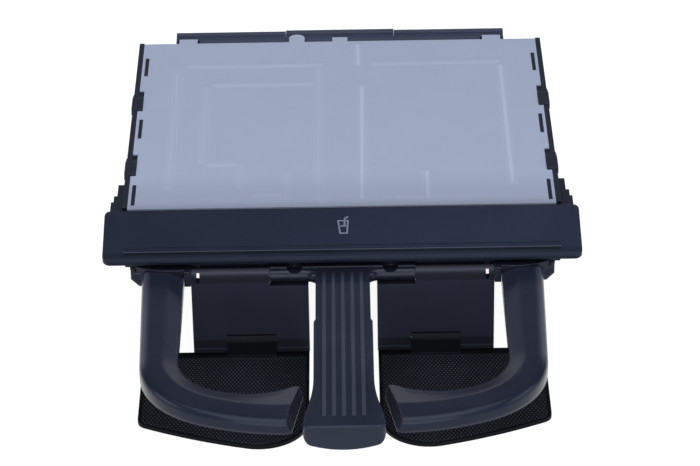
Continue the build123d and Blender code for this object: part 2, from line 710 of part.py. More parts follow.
# Arms: hooked grips with a sloped inner face, hollow underneath, each on an upright pin
with BuildPart() as arm:
    inner_bend = (arm_inner, arm_inner_bend)
    outer_bend = (arm_outer - arm_outer_taper, arm_outer_bend)
    with BuildSketch(Plane.XY.offset(arm_bottom)) as arm_plan:
        with BuildLine():
            Line((arm_inner, arm_pivot_y), inner_bend)
            inner_curve = TangentArc(inner_bend, across(hook_inner), tangent=(0, -1))
            hook_curve = TangentArc(inner_curve @ 1, across(hook_thumb), tangent=inner_curve % 1)
            TangentArc(hook_curve @ 1, across(hook_tip_inner), tangent=hook_curve % 1)
            end_side = Line(across(hook_tip_inner), across(hook_tip_front))
            outer_side = Line((arm_outer, arm_shoulder_front), outer_bend)
            outer_curve = TangentArc(outer_bend, across(hook_outer), tangent=outer_side % 1)
            TangentArc(outer_curve @ 1, across(hook_tip_front), tangent=outer_curve % 1)
            Polyline(
                (arm_outer, arm_shoulder_front),
                (arm_shoulder, arm_shoulder_front),
                (arm_shoulder, arm_shoulder_rear),
                (arm_pivot_x + arm_boss_radius, arm_pivot_y),
                (arm_inner, arm_pivot_y),
            )
        make_face()
        fillet(arm_plan.vertices().sort_by(Axis.Y)[0], radius=arm_tip_radius)
        with Locations((arm_pivot_x, arm_pivot_y)):
            Circle(arm_boss_radius)
    extrude(amount=arm_top - arm_bottom)
    # Shoulder with its lower corner cut off, and a rounded outer edge along the top
    shoulder_low = arm.faces().sort_by(Axis.Z)[0].edges().filter_by(Axis.Y).sort_by(Axis.X)[-1]
    chamfer(shoulder_low, length=arm_shoulder_cut)
    top_edges = arm.faces().sort_by(Axis.Z)[-1].edges()
    long_sides = top_edges.filter_by(GeomType.LINE).sort_by(SortBy.LENGTH)[-2:]
    hook_edges = top_edges.filter_by(GeomType.CIRCLE).sort_by(SortBy.RADIUS)[-2:]
    fillet(hook_edges + [long_sides.sort_by(Axis.X)[-1]], radius=arm_edge_radius)
    # Sloped face around the cup opening, wide at the thumb
    with BuildSketch(Plane.XY.offset(arm_top - arm_facet_drop)):
        with BuildLine():
            low_arc = TangentArc(inner_bend, across(hook_inner), tangent=(0, -1))
            low_hook = TangentArc(low_arc @ 1, across(hook_thumb), tangent=low_arc % 1)
            low_end = low_hook @ 1 + low_hook % 1 * arm_facet_run
            low_start = (arm_inner, arm_shoulder_front)
            Polyline(low_hook @ 1, low_end, (low_end.X, arm_shoulder_front), low_start, inner_bend)
        make_face()
    with BuildSketch(Plane.XY.offset(arm_top)):
        with BuildLine():
            facet_bend = (arm_inner + arm_facet_width, arm_inner_bend)
            high_arc = TangentArc(facet_bend, across(facet_middle), tangent=(0, -1))
            high_hook = TangentArc(high_arc @ 1, across(facet_end), tangent=high_arc % 1)
            high_end = high_hook @ 1 + high_hook % 1 * arm_facet_run
            high_start = (facet_bend[0], arm_shoulder_front)
            Polyline(high_hook @ 1, high_end, (high_end.X, arm_shoulder_front), high_start, facet_bend)
        make_face()
    loft(ruled=True, mode=Mode.SUBTRACT)
    # End beside the tongue, which leans back towards its top
    end_plane = Plane(
        end_side @ 0,
        x_dir=(end_side % 0).rotate(Axis.Z, 90),
        z_dir=end_side % 0,
    )
    with BuildSketch(end_plane):
        with BuildLine():
            Polyline(
                (0, arm_bottom),
                (arm_end_slope, arm_top),
                (-arm_end_slope, arm_top),
                (-arm_end_slope, arm_bottom),
                close=True,
            )
        make_face()
    extrude(amount=end_side.length, both=True, mode=Mode.SUBTRACT)
    # The root runs lower, under the carriage's round corner
    with BuildSketch(Plane.XY.offset(skin_bottom - running_gap)):
        with Locations((arm_pivot_x, arm_pivot_y)):
            Circle(swing_radius)
    extrude(amount=arm_top - arm_bottom, mode=Mode.SUBTRACT)
    # Hollow underside with cross ribs
    pocket_rear = arm_pivot_y - swing_radius - arm_wall
    with BuildSketch(Plane.XY.offset(arm_bottom)):
        offset(arm_plan.face(), amount=-arm_wall)
        with Locations((0, pocket_rear)):
            Rectangle(4 * arm_outer, 4 * arm_outer, align=(Align.CENTER, Align.MAX), mode=Mode.INTERSECT)
        with Locations(*[((arm_inner + arm_outer) / 2, place) for place in arm_rib_places]):
            Rectangle(arm_outer - arm_inner + 2 * arm_wall, arm_rib, mode=Mode.SUBTRACT)
        with Locations(*[across(place) for place in hook_ribs]):
            Rectangle(arm_rib, arm_hook_rib_length, mode=Mode.SUBTRACT)
    extrude(amount=arm_top - arm_skin - arm_bottom, mode=Mode.SUBTRACT)
    # Underside that rises towards the hook
    with BuildSketch(Plane.YZ):
        with BuildLine():
            rise_end = 2 * hook_tip_front[1] - arm_rise_start
            Polyline(
                (arm_rise_start, arm_bottom),
                (rise_end, arm_bottom + 2 * arm_rise),
                (rise_end, arm_bottom),
                close=True,
            )
        make_face()
    extrude(amount=2 * arm_outer, mode=Mode.SUBTRACT)
    # Pivot bore, with a counterbore for the spring
    with BuildSketch(Plane.XY.offset(arm_bottom)):
        with Locations((arm_pivot_x, arm_pivot_y)):
            Circle(arm_pin_radius + pin_play)
    extrude(amount=arm_top - arm_bottom, mode=Mode.SUBTRACT)
    with BuildSketch(Plane.XY.offset(arm_bottom)):
        with Locations((arm_pivot_x, arm_pivot_y)):
            Circle(arm_spring_radius + seat_gap)
    extrude(amount=arm_spring_height + seat_gap, mode=Mode.SUBTRACT)
write_pair(arm.part, "arm")

# Arm pins: headed pins that hang in the carriage's skin
with BuildPart() as arm_pin:
    pin_foot = arm_bottom - running_gap - arm_pin_head
    with BuildSketch(Plane.XY.offset(pin_foot)):
        with Locations((arm_pivot_x, arm_pivot_y)):
            Circle(arm_pin_head_radius)
    extrude(amount=arm_pin_head)
    with BuildSketch(Plane.XY.offset(pin_foot)):
        with Locations((arm_pivot_x, arm_pivot_y)):
            Circle(arm_pin_radius)
    extrude(amount=skin_bottom + skin_thickness / 2 - pin_foot)
write_pair(arm_pin.part, "arm_pin")

# Arm springs: close-wound torsion springs in the arms' counterbores
with BuildPart() as arm_spring:
    with BuildSketch(Plane.XY.offset(arm_bottom)):
        with Locations((arm_pivot_x, arm_pivot_y)):
            Circle(arm_spring_radius)
            Circle(arm_pin_radius + pin_play, mode=Mode.SUBTRACT)
    extrude(amount=arm_spring_height)
write_pair(arm_spring.part, "arm_spring")

# Drop plates: a barrel on the carriage's rod, a stub on its outer ear, a flat plate and two lower bosses
with BuildPart() as drop_plate:
    barrel_inner = crossbar_half + knuckle_gap
    barrel_plane, barrel_run = rod_between(barrel_inner, drop_outer, drop_hinge_y, drop_hinge_z)
    with BuildSketch(barrel_plane):
        Circle(drop_barrel_radius)
    extrude(amount=barrel_run)
    stub_plane, stub_run = rod_between(
        drop_outer, drop_outer + drop_stub, drop_hinge_y, drop_hinge_z
    )
    with BuildSketch(stub_plane):
        Circle(drop_rod_radius)
    extrude(amount=stub_run)
    with BuildSketch(Plane.XZ.offset(-drop_front)):
        with BuildLine():
            shelf_z = skin_bottom - crossbar_height - 3 * running_gap
            Polyline(
                (barrel_inner, drop_hinge_z),
                (drop_outer, drop_hinge_z),
                (drop_outer, drop_bottom),
                (drop_inner, drop_bottom),
                (drop_inner, shelf_z),
                (barrel_inner, shelf_z),
                close=True,
            )
        make_face()
        # Notch for the floor plate's lug
        notch_top = floor_hinge_z + floor_lug_radius + running_gap
        with Locations((floor_lug[0], notch_top)):
            Rectangle(
                floor_lug[1] - floor_lug[0],
                notch_top - drop_bottom,
                align=(Align.MIN, Align.MAX),
                mode=Mode.SUBTRACT,
            )
    extrude(amount=-drop_thickness)
    # Bosses for the floor rod, and a ledge behind the plate's top
    for boss_start in (floor_lug[0] - floor_boss_width, floor_lug[1]):
        with BuildSketch(Plane.YZ.offset(boss_start)):
            with Locations((drop_front, floor_hinge_z)):
                boss_depth = floor_hinge_y + floor_lug_radius - drop_front
                Rectangle(boss_depth, 2 * floor_lug_radius, align=(Align.MIN, Align.CENTER))
        extrude(amount=floor_boss_width)
    with BuildSketch(Plane.YZ.offset(drop_inner)):
        with Locations((drop_front, shelf_z)):
            ledge_reach = drop_thickness + drop_ledge_depth
            Rectangle(ledge_reach, drop_ledge_height, align=(Align.MIN, Align.MAX))
    extrude(amount=barrel_inner - drop_inner)
    # Bores for the two rods, a seat for the upper spring, and the window beside the outer ear
    bore_plane, bore_run = rod_between(barrel_inner, ear_window_inner, drop_hinge_y, drop_hinge_z)
    with BuildSketch(bore_plane):
        Circle(drop_rod_radius + pin_play)
    extrude(amount=bore_run, mode=Mode.SUBTRACT)
    seat_start = ear_window_inner - drop_spring_length - running_gap
    seat_plane, seat_run = rod_between(seat_start, ear_window_inner, drop_hinge_y, drop_hinge_z)
    with BuildSketch(seat_plane):
        Circle(drop_spring_radius + seat_gap)
    extrude(amount=seat_run, mode=Mode.SUBTRACT)
    low_start = floor_lug[0] - floor_boss_width
    low_end = floor_lug[1] + floor_boss_width
    low_plane, low_run = rod_between(low_start, low_end, floor_hinge_y, floor_hinge_z)
    with BuildSketch(low_plane):
        Circle(floor_rod_radius + pin_play)
    extrude(amount=low_run, mode=Mode.SUBTRACT)
    with BuildSketch(Plane.YZ.offset(ear_window_inner)):
        with Locations((drop_hinge_y, drop_hinge_z + drop_barrel_radius - ear_window_roof)):
            Rectangle(4 * drop_barrel_radius, ear_window_height, align=(Align.CENTER, Align.MAX))
    extrude(amount=ear_window_width, mode=Mode.SUBTRACT)
write_pair(drop_plate.part, "drop_plate")

# Drop rods: steel rods from the crossbar into the barrels
with BuildPart() as drop_rod:
    rod_plane, rod_run = rod_between(
        crossbar_half - drop_rod_grip, ear_window_inner - running_gap, drop_hinge_y, drop_hinge_z
    )
    with BuildSketch(rod_plane):
        Circle(drop_rod_radius)
    extrude(amount=rod_run)
write_pair(drop_rod.part, "drop_rod")

# Drop springs: close-wound torsion springs inside the barrels
with BuildPart() as drop_spring:
    coil_plane, coil_run = rod_between(
        ear_window_inner - drop_spring_length, ear_window_inner, drop_hinge_y, drop_hinge_z
    )
    with BuildSketch(coil_plane):
        Circle(drop_spring_radius)
        Circle(drop_rod_radius + pin_play, mode=Mode.SUBTRACT)
    extrude(amount=coil_run)
write_pair(drop_spring.part, "drop_spring")

# Floor plates: grained trays with a thin rim, hung on one wide lug with a seat for its spring
with BuildPart() as floor_plate:
    with BuildSketch(Plane.XY.offset(floor_top)) as floor_plan:
        with BuildLine():
            Polyline(
                (floor_inner, floor_inner_front),
                (floor_inner, floor_rear),
                (drop_outer, floor_rear),
                (drop_outer, floor_wing_rear),
                (floor_outer, floor_wing_rear),
                (floor_outer, floor_side_front),
            )
            ThreePointArc(
                (floor_outer, floor_side_front),
                ((floor_outer + floor_inner) / 2, floor_middle_front),
                (floor_inner, floor_inner_front),
            )
        make_face()
        fillet(floor_plan.vertices().sort_by(Axis.Y)[0], radius=floor_inner_corner)
        fillet(floor_plan.vertices().group_by(Axis.X)[-1].sort_by(Axis.Y)[0], radius=floor_outer_corner)
    extrude(amount=-floor_thickness)
    with BuildSketch(Plane.XY.offset(floor_top)):
        offset(floor_plan.face(), amount=-floor_rim)
        with Locations((0, floor_hinge_y - floor_lug_radius - floor_rim)):
            Rectangle(4 * floor_outer, 4 * floor_outer, align=(Align.CENTER, Align.MAX), mode=Mode.INTERSECT)
    extrude(amount=-floor_recess, mode=Mode.SUBTRACT)
    lug_end = floor_lug[1] - knuckle_gap
    lug_plane, lug_run = rod_between(floor_lug[0] + knuckle_gap, lug_end, floor_hinge_y, floor_hinge_z)
    with BuildSketch(lug_plane):
        Circle(floor_lug_radius)
        Rectangle(
            2 * floor_lug_radius,
            floor_hinge_z - floor_top + floor_thickness / 2,
            align=(Align.CENTER, Align.MAX),
        )
        Circle(floor_rod_radius + pin_play, mode=Mode.SUBTRACT)
    extrude(amount=lug_run)
    seat_start = lug_end - floor_spring_length - running_gap
    seat_plane, seat_run = rod_between(seat_start, lug_end, floor_hinge_y, floor_hinge_z)
    with BuildSketch(seat_plane):
        Circle(floor_spring_radius + seat_gap)
    extrude(amount=seat_run, mode=Mode.SUBTRACT)
write_pair(floor_plate.part, "floor_plate")

# Floor rods, and the torsion springs on them inside the floor plates' lugs
with BuildPart() as floor_rod:
    with BuildSketch(low_plane):
        Circle(floor_rod_radius)
    extrude(amount=low_run)
write_pair(floor_rod.part, "floor_rod")

with BuildPart() as floor_spring:
    coil_plane, coil_run = rod_between(
        floor_lug[1] - floor_spring_length, floor_lug[1], floor_hinge_y, floor_hinge_z
    )
    with BuildSketch(coil_plane):
        Circle(floor_spring_radius)
        Circle(floor_rod_radius + pin_play, mode=Mode.SUBTRACT)
    extrude(amount=coil_run)
write_pair(floor_spring.part, "floor_spring")

# Damper: an oil-filled drum under the carriage's skin
with BuildPart() as damper_body:
    drum_bottom = pinion_z + pinion_width / 2 + running_gap
    with BuildSketch(Plane.XY.offset(drum_bottom)):
        with Locations((pinion_x, pinion_y)):
            Circle(damper_radius)
            Circle(pinion_shaft_radius + pin_play, mode=Mode.SUBTRACT)
    extrude(amount=skin_bottom - drum_bottom)
write(damper_body.part, "damper_body")

# Damper pinion: involute teeth on a short shaft
with BuildPart() as damper_pinion:
    base_radius = gear_radius * cos(radians(pressure_angle))
    tip_radius = gear_radius + gear_module
    root_radius = gear_radius - dedendum
    tooth_half = (pi / 2 - backlash / gear_module / 2) / pinion_teeth
    involute_at_pitch = tan(radians(pressure_angle)) - radians(pressure_angle)

    def flank(radius, side):
        """Point of a tooth's flank at a radius, for the tooth that points along +X."""
        roll = acos(min(1.0, base_radius / radius))
        turn = tooth_half + involute_at_pitch - (tan(roll) - roll)
        return (radius * cos(turn), side * radius * sin(turn))

    gear_plane = Plane((pinion_x, pinion_y, pinion_z - pinion_width / 2))
    with BuildSketch(gear_plane, mode=Mode.PRIVATE) as tooth:
        with BuildLine():
            low = ThreePointArc(flank(base_radius, -1), flank(gear_radius, -1), flank(tip_radius, -1))
            Line(low @ 1, flank(tip_radius, 1))
            high = ThreePointArc(flank(tip_radius, 1), flank(gear_radius, 1), flank(base_radius, 1))
            Polyline(high @ 1, (0, (high @ 1).Y), (0, (low @ 0).Y), low @ 0)
        make_face()
    with BuildSketch(gear_plane):
        Circle(root_radius)
        with PolarLocations(0, pinion_teeth):
            add(tooth.sketch_local)
    extrude(amount=pinion_width)
    with BuildSketch(Plane.XY.offset(pinion_z)):
        with Locations((pinion_x, pinion_y)):
            Circle(pinion_shaft_radius)
    extrude(amount=skin_bottom - running_gap - pinion_z)
write(damper_pinion.part, "damper_pinion")

# Drive spring: a rolled steel band on its spool, and the spool's pin
with BuildPart() as drive_spring:
    roll_plane, roll_run = rod_between(-spool_width / 2, spool_width / 2, spool_y, spool_z)
    with BuildSketch(roll_plane):
        Circle(spool_radius)
        Circle(spool_pin_radius + pin_play, mode=Mode.SUBTRACT)
    extrude(amount=roll_run)
write(drive_spring.part, "drive_spring")

with BuildPart() as drive_pin:
    pin_reach = spool_width / 2 + running_gap + spool_lug_width
    pin_plane, pin_run = rod_between(-pin_reach, pin_reach, spool_y, spool_z)
    with BuildSketch(pin_plane):
        Circle(spool_pin_radius)
    extrude(amount=pin_run)
write(drive_pin.part, "drive_pin")

# Latch block: hollow block let into the rear bar
with BuildPart() as latch_block:
    with BuildSketch(Plane.XY.offset(latch_bottom)):
        with Locations((0, rear_bar_front)):
            Rectangle(2 * latch_half, latch_rear - rear_bar_front, align=(Align.CENTER, Align.MIN))
    extrude(amount=ledge_z - seat_gap - latch_bottom)
    with BuildSketch(Plane.XY.offset(ledge_z - seat_gap)):
        with Locations((0, latch_lip_front)):
            Rectangle(2 * latch_half, latch_rear - latch_lip_front, align=(Align.CENTER, Align.MIN))
    extrude(amount=latch_lip_height)
    with BuildSketch(Plane.XY.offset(latch_bottom)):
        with Locations((0, rear_bar_front)):
            Rectangle(
                2 * (latch_half - latch_wall),
                latch_rear - latch_wall - rear_bar_front,
                align=(Align.CENTER, Align.MIN),
            )
    extrude(amount=ledge_z - latch_wall - latch_bottom, mode=Mode.SUBTRACT)
    with BuildSketch(Plane.XY.offset(latch_bottom)):
        with Locations((hook_pivot_x, hook_pivot_y)):
            Circle(latch_pin_radius + pin_play)
    extrude(amount=ledge_z - latch_wall / 2 - latch_bottom, mode=Mode.SUBTRACT)
write(latch_block.part, "latch_block")

# Latch hook: a finger on an upright pin, whose nose turns in front of the striker
with BuildPart() as latch_hook:
    nose_x = striker_radius + running_gap
    with BuildSketch(Plane.XY.offset(hook_z)):
        with BuildLine():
            Polyline(
                (nose_x, hook_nose_front),
                (hook_pivot_x + hook_width / 2, hook_nose_front),
                (hook_pivot_x + hook_width / 2, hook_pivot_y),
                (hook_pivot_x - hook_width / 2, hook_pivot_y),
                (hook_pivot_x - hook_width / 2, hook_nose_front + hook_nose_length),
                (nose_x, hook_nose_front + hook_nose_length),
                close=True,
            )
        make_face()
        with Locations((hook_pivot_x, hook_pivot_y)):
            Circle(hook_boss_radius)
            Circle(latch_pin_radius + pin_play, mode=Mode.SUBTRACT)
    extrude(amount=hook_thickness)
write(latch_hook.part, "latch_hook")

with BuildPart() as latch_pin:
    with BuildSketch(Plane.XY.offset(hook_z)):
        with Locations((hook_pivot_x, hook_pivot_y)):
            Circle(latch_pin_radius)
    extrude(amount=ledge_z - latch_wall / 2 - hook_z)
write(latch_pin.part, "latch_pin")

with BuildPart() as latch_spring:
    with BuildSketch(Plane.XY.offset(hook_z + hook_thickness + running_gap)):
        with Locations((hook_pivot_x, hook_pivot_y)):
            Circle(latch_spring_radius)
            Circle(latch_pin_radius + pin_play, mode=Mode.SUBTRACT)
    extrude(amount=latch_spring_height)
write(latch_spring.part, "latch_spring")
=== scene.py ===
from math import cos, pi, radians, sin

import bmesh
import bpy
from mathutils import Matrix, Vector


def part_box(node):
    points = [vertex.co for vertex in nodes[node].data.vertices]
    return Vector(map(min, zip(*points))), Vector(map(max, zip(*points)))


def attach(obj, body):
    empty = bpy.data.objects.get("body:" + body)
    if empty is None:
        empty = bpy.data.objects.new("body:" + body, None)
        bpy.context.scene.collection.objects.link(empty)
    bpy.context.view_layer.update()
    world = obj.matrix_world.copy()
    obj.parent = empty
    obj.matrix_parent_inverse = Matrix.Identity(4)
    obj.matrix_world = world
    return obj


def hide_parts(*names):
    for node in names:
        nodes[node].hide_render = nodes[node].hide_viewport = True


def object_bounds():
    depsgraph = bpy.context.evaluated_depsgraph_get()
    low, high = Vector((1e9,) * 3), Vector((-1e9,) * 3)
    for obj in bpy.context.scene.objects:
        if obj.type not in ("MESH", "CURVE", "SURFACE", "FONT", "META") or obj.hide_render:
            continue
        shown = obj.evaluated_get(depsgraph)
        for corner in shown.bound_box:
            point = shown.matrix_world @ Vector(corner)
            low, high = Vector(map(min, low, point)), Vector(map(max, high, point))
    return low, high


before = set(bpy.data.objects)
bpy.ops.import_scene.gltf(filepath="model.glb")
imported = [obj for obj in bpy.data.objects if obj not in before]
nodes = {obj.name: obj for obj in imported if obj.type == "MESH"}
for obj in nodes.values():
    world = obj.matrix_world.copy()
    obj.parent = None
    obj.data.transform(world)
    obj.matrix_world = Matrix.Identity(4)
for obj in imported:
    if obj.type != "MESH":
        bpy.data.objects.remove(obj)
cad_low, cad_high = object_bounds()


# Housing: the open frame that fills the dash slot, and the latch block let into its rear bar.
# Injection-moulded in a dark blue-black plastic with a fine spark-eroded grain.
# The edges are a little rubbed where the frame is pushed into the dashboard and also carry a painted
# highlight, and the rear bar is paler.
mm = 0.001
housing_colour = (0.0085, 0.0110, 0.0210, 1.0)
housing_wear_and_highlight = (0.036, 0.042, 0.064, 1.0)
bar_colour = (0.039, 0.046, 0.078, 1.0)
bar_front, bar_fade = 149.6 * mm, 1.0 * mm
cool_sheen = (0.80, 0.88, 1.0, 1.0)
cloud_scale, cloud_detail, grain_detail = 42.0, 3.0, 2.5
sheen_share = 0.16
rim_gain = 4.0
plastic_speckle, plastic_bump = 0.2, 0.6


def named_group(name, inputs, outputs):
    """Empty shader node group with its sockets, its input node and its output node."""
    group = bpy.data.node_groups.new(name, "ShaderNodeTree")
    for socket, kind in inputs:
        group.interface.new_socket(socket, in_out="INPUT", socket_type=kind)
    for socket, kind in outputs:
        group.interface.new_socket(socket, in_out="OUTPUT", socket_type=kind)
    return group, group.nodes.new("NodeGroupInput"), group.nodes.new("NodeGroupOutput")


def maths(tree, operation, first, second):
    """Math node of one operation; each operand is a socket or a number."""
    node = tree.nodes.new("ShaderNodeMath")
    node.operation = operation
    for place, operand in enumerate((first, second)):
        if isinstance(operand, (int, float)):
            node.inputs[place].default_value = operand
        else:
            tree.links.new(operand, node.inputs[place])
    return node.outputs[0]


def times(tree, first, second):
    """Product of two sockets or numbers."""
    return maths(tree, "MULTIPLY", first, second)


def plus(tree, first, second):
    """Sum of two sockets or numbers."""
    return maths(tree, "ADD", first, second)


# Moulded skin: cloudy change of tone over a few centimetres, and a fine grain
moulded_skin, skin_in, skin_out = named_group(
    "moulded_skin",
    (
        ("Place", "NodeSocketVector"),
        ("Colour", "NodeSocketColor"),
        ("Cloud", "NodeSocketFloat"),
        ("Grain", "NodeSocketFloat"),
        ("Speckle", "NodeSocketFloat"),
        ("Roughness", "NodeSocketFloat"),
    ),
    (("Colour", "NodeSocketColor"), ("Roughness", "NodeSocketFloat"), ("Height", "NodeSocketFloat")),
)
cloud_noise = moulded_skin.nodes.new("ShaderNodeTexNoise")
cloud_noise.inputs["Scale"].default_value = cloud_scale
cloud_noise.inputs["Detail"].default_value = cloud_detail
grain_noise = moulded_skin.nodes.new("ShaderNodeTexNoise")
grain_noise.inputs["Detail"].default_value = grain_detail
for texture in (cloud_noise, grain_noise):
    moulded_skin.links.new(skin_in.outputs["Place"], texture.inputs["Vector"])
moulded_skin.links.new(skin_in.outputs["Grain"], grain_noise.inputs["Scale"])
cloud_shift = maths(moulded_skin, "SUBTRACT", cloud_noise.outputs["Fac"], 0.5)
grain_shift = maths(moulded_skin, "SUBTRACT", grain_noise.outputs["Fac"], 0.5)
tone = times(moulded_skin, cloud_shift, skin_in.outputs["Cloud"])
speckle = times(moulded_skin, grain_shift, skin_in.outputs["Speckle"])
tinted = moulded_skin.nodes.new("ShaderNodeHueSaturation")
moulded_skin.links.new(skin_in.outputs["Colour"], tinted.inputs["Color"])
moulded_skin.links.new(plus(moulded_skin, plus(moulded_skin, tone, speckle), 1.0), tinted.inputs["Value"])
sheen_shift = times(moulded_skin, plus(moulded_skin, cloud_shift, grain_shift), sheen_share)
skin_roughness = plus(moulded_skin, skin_in.outputs["Roughness"], sheen_shift)
moulded_skin.links.new(tinted.outputs["Color"], skin_out.inputs["Colour"])
moulded_skin.links.new(skin_roughness, skin_out.inputs["Roughness"])
moulded_skin.links.new(grain_noise.outputs["Fac"], skin_out.inputs["Height"])

# Soft edges: the small radius that every moulded or pressed edge has, and a mask along it
soft_edges, edge_in, edge_out = named_group(
    "soft_edges",
    (("Radius", "NodeSocketFloat"),),
    (("Normal", "NodeSocketVector"), ("Rim", "NodeSocketFloat")),
)
round_over = soft_edges.nodes.new("ShaderNodeBevel")
round_over.samples = 10
face = soft_edges.nodes.new("ShaderNodeNewGeometry")
turned = soft_edges.nodes.new("ShaderNodeVectorMath")
turned.operation = "DOT_PRODUCT"
soft_edges.links.new(edge_in.outputs["Radius"], round_over.inputs["Radius"])
soft_edges.links.new(round_over.outputs["Normal"], turned.inputs[0])
soft_edges.links.new(face.outputs["Normal"], turned.inputs[1])
rim = times(soft_edges, maths(soft_edges, "SUBTRACT", 1.0, turned.outputs["Value"]), rim_gain)
rim = maths(soft_edges, "MINIMUM", maths(soft_edges, "MAXIMUM", rim, 0.0), 1.0)
soft_edges.links.new(round_over.outputs["Normal"], edge_out.inputs["Normal"])
soft_edges.links.new(rim, edge_out.inputs["Rim"])


def new_material(name):
    """Material with its node tree, Principled shader and Object coordinates."""
    material = bpy.data.materials.new(name)
    material.use_nodes = True
    tree = material.node_tree
    place = tree.nodes.new("ShaderNodeTexCoord")
    return material, tree, tree.nodes["Principled BSDF"], place.outputs["Object"]


def placed_group(tree, group, values):
    """Group node in a material, with its own values on the named inputs."""
    node = tree.nodes.new("ShaderNodeGroup")
    node.node_tree = group
    for socket, value in values.items():
        node.inputs[socket].default_value = value
    return node


def moulded_plastic(name, colour, wear_and_highlight, roughness, specular, grain, relief, edge=0.35 * mm, cloud=0.4):
    """Moulded plastic with a cloudy tone, a fine grain, and lighter edges that are partly rubbed wear and
    partly a painted highlight.
    """
    material, tree, shader, place = new_material(name)
    skin = placed_group(
        tree,
        moulded_skin,
        {
            "Colour": colour,
            "Cloud": cloud,
            "Grain": grain,
            "Speckle": plastic_speckle,
            "Roughness": roughness,
        },
    )
    skin.name = "skin"
    edges = placed_group(tree, soft_edges, {"Radius": edge})
    edges.name = "edges"
    highlighted = tree.nodes.new("ShaderNodeMix")
    highlighted.data_type = "RGBA"
    highlighted.inputs["B"].default_value = wear_and_highlight
    bump = tree.nodes.new("ShaderNodeBump")
    bump.inputs["Strength"].default_value = plastic_bump
    bump.inputs["Distance"].default_value = relief
    tree.links.new(place, skin.inputs["Place"])
    tree.links.new(edges.outputs["Rim"], highlighted.inputs["Factor"])
    tree.links.new(skin.outputs["Colour"], highlighted.inputs["A"])
    tree.links.new(highlighted.outputs["Result"], shader.inputs["Base Color"])
    tree.links.new(skin.outputs["Roughness"], shader.inputs["Roughness"])
    tree.links.new(skin.outputs["Height"], bump.inputs["Height"])
    tree.links.new(edges.outputs["Normal"], bump.inputs["Normal"])
    tree.links.new(bump.outputs["Normal"], shader.inputs["Normal"])
    shader.inputs["Specular IOR Level"].default_value = specular
    shader.inputs["Specular Tint"].default_value = cool_sheen
    return material


def dress(material, *names):
    """Give CAD nodes their finish."""
    for name in names:
        nodes[name].data.materials.clear()
        nodes[name].data.materials.append(material)


def place_along(tree, axis):
    """Object coordinate of a material along the X, Y or Z axis."""
    spot = tree.nodes.new("ShaderNodeSeparateXYZ")
    tree.links.new(tree.nodes["Texture Coordinate"].outputs["Object"], spot.inputs["Vector"])
    return spot.outputs[axis]


def ramp(tree, value, low, high):
    """Smooth step of a value from 0 at one place to 1 at another."""
    node = tree.nodes.new("ShaderNodeMapRange")
    node.interpolation_type = "SMOOTHSTEP"
    node.inputs["From Min"].default_value = low
    node.inputs["From Max"].default_value = high
    tree.links.new(value, node.inputs["Value"])
    return node.outputs["Result"]


def blend(tree, mask, first, second):
    """Colour that goes from the first to the second with a mask; each is a colour or a socket."""
    node = tree.nodes.new("ShaderNodeMix")
    node.data_type = "RGBA"
    tree.links.new(mask, node.inputs["Factor"])
    for socket, colour in (("A", first), ("B", second)):
        if isinstance(colour, tuple):
            node.inputs[socket].default_value = colour
        else:
            tree.links.new(colour, node.inputs[socket])
    return node.outputs["Result"]


def paint(tree, colour):
    """Give a material's moulded skin a colour that changes by place."""
    tree.links.new(colour, tree.nodes["skin"].inputs["Colour"])


housing_black = moulded_plastic(
    "housing_black",
    housing_colour,
    housing_wear_and_highlight,
    roughness=0.45,
    specular=0.16,
    grain=1900.0,
    relief=0.006 * mm,
)
tree = housing_black.node_tree
on_rear_bar = ramp(tree, place_along(tree, "Y"), bar_front - bar_fade, bar_front)
paint(tree, blend(tree, on_rear_bar, housing_colour, bar_colour))
dress(housing_black, "housing", "latch_block")


# Steel cover: sheet steel with a matt blue-grey zinc coat, pressed with shallow beads.
# It lies on the housing's ledges, held by the tabs in its slots and the clips in its notches.
# The coat is nearly even in tone, with a faint spangle and a fine grain.
zinc_colour = (0.338, 0.376, 0.496, 1.0)
zinc_edge_highlight = (0.385, 0.423, 0.550, 1.0)
zinc_crown_highlight = (0.410, 0.455, 0.595, 1.0)
zinc_shade = (0.237, 0.263, 0.347, 1.0)
spangle_scale, spangle_depth = 170.0, 0.02
press_radius, cut_radius = 2.4 * mm, 0.3 * mm
press_gain = 4.0
bead_softness = 0.78
side_border, front_border, rear_border, border_fade = 5.0 * mm, 3.0 * mm, 8.0 * mm, 3.0 * mm
crown_foot, crown_head = 0.40 * mm, 0.15 * mm
middle_bead, middle_bead_width = 8.5 * mm, 7.0 * mm
right_bead, short_bead, bead_width = 69.6 * mm, 35.0 * mm, 4.4 * mm
short_bead_rear, short_bead_fade = 40.0 * mm, 4.0 * mm
left_bead_share, left_bead_side = 0.2, 1.0 * mm
shadow_start, shadow_full, shadow_share = 30.0 * mm, 10.0 * mm, 0.42
shade_start, shade_full, shade_share = 8.0 * mm, -2.0 * mm, 0.9


def stripe(tree, value, middle, width):
    """Soft-sided stripe, 1 in the middle and 0 outside its width."""
    rise = ramp(tree, value, middle - width / 2, middle - width / 4)
    fall = ramp(tree, value, middle + width / 2, middle + width / 4)
    return times(tree, rise, fall)


def from_middle(tree):
    """Distance of a place in a material from the object's middle plane."""
    return maths(tree, "ABSOLUTE", place_along(tree, "X"), 0.0)


zinc_coat, tree, shader, place = new_material("zinc_coat")
spangle = tree.nodes.new("ShaderNodeTexVoronoi")
spangle.inputs["Scale"].default_value = spangle_scale
tree.links.new(place, spangle.inputs["Vector"])
coat = placed_group(
    tree,
    moulded_skin,
    {"Colour": zinc_colour, "Cloud": 0.05, "Grain": 900.0, "Speckle": 0.04, "Roughness": 0.7},
)
tree.links.new(place, coat.inputs["Place"])
flake = tree.nodes.new("ShaderNodeHueSaturation")
flake_value = plus(tree, times(tree, spangle.outputs["Color"], spangle_depth), 1.0 - spangle_depth / 2)
tree.links.new(flake_value, flake.inputs["Value"])
tree.links.new(coat.outputs["Colour"], flake.inputs["Color"])
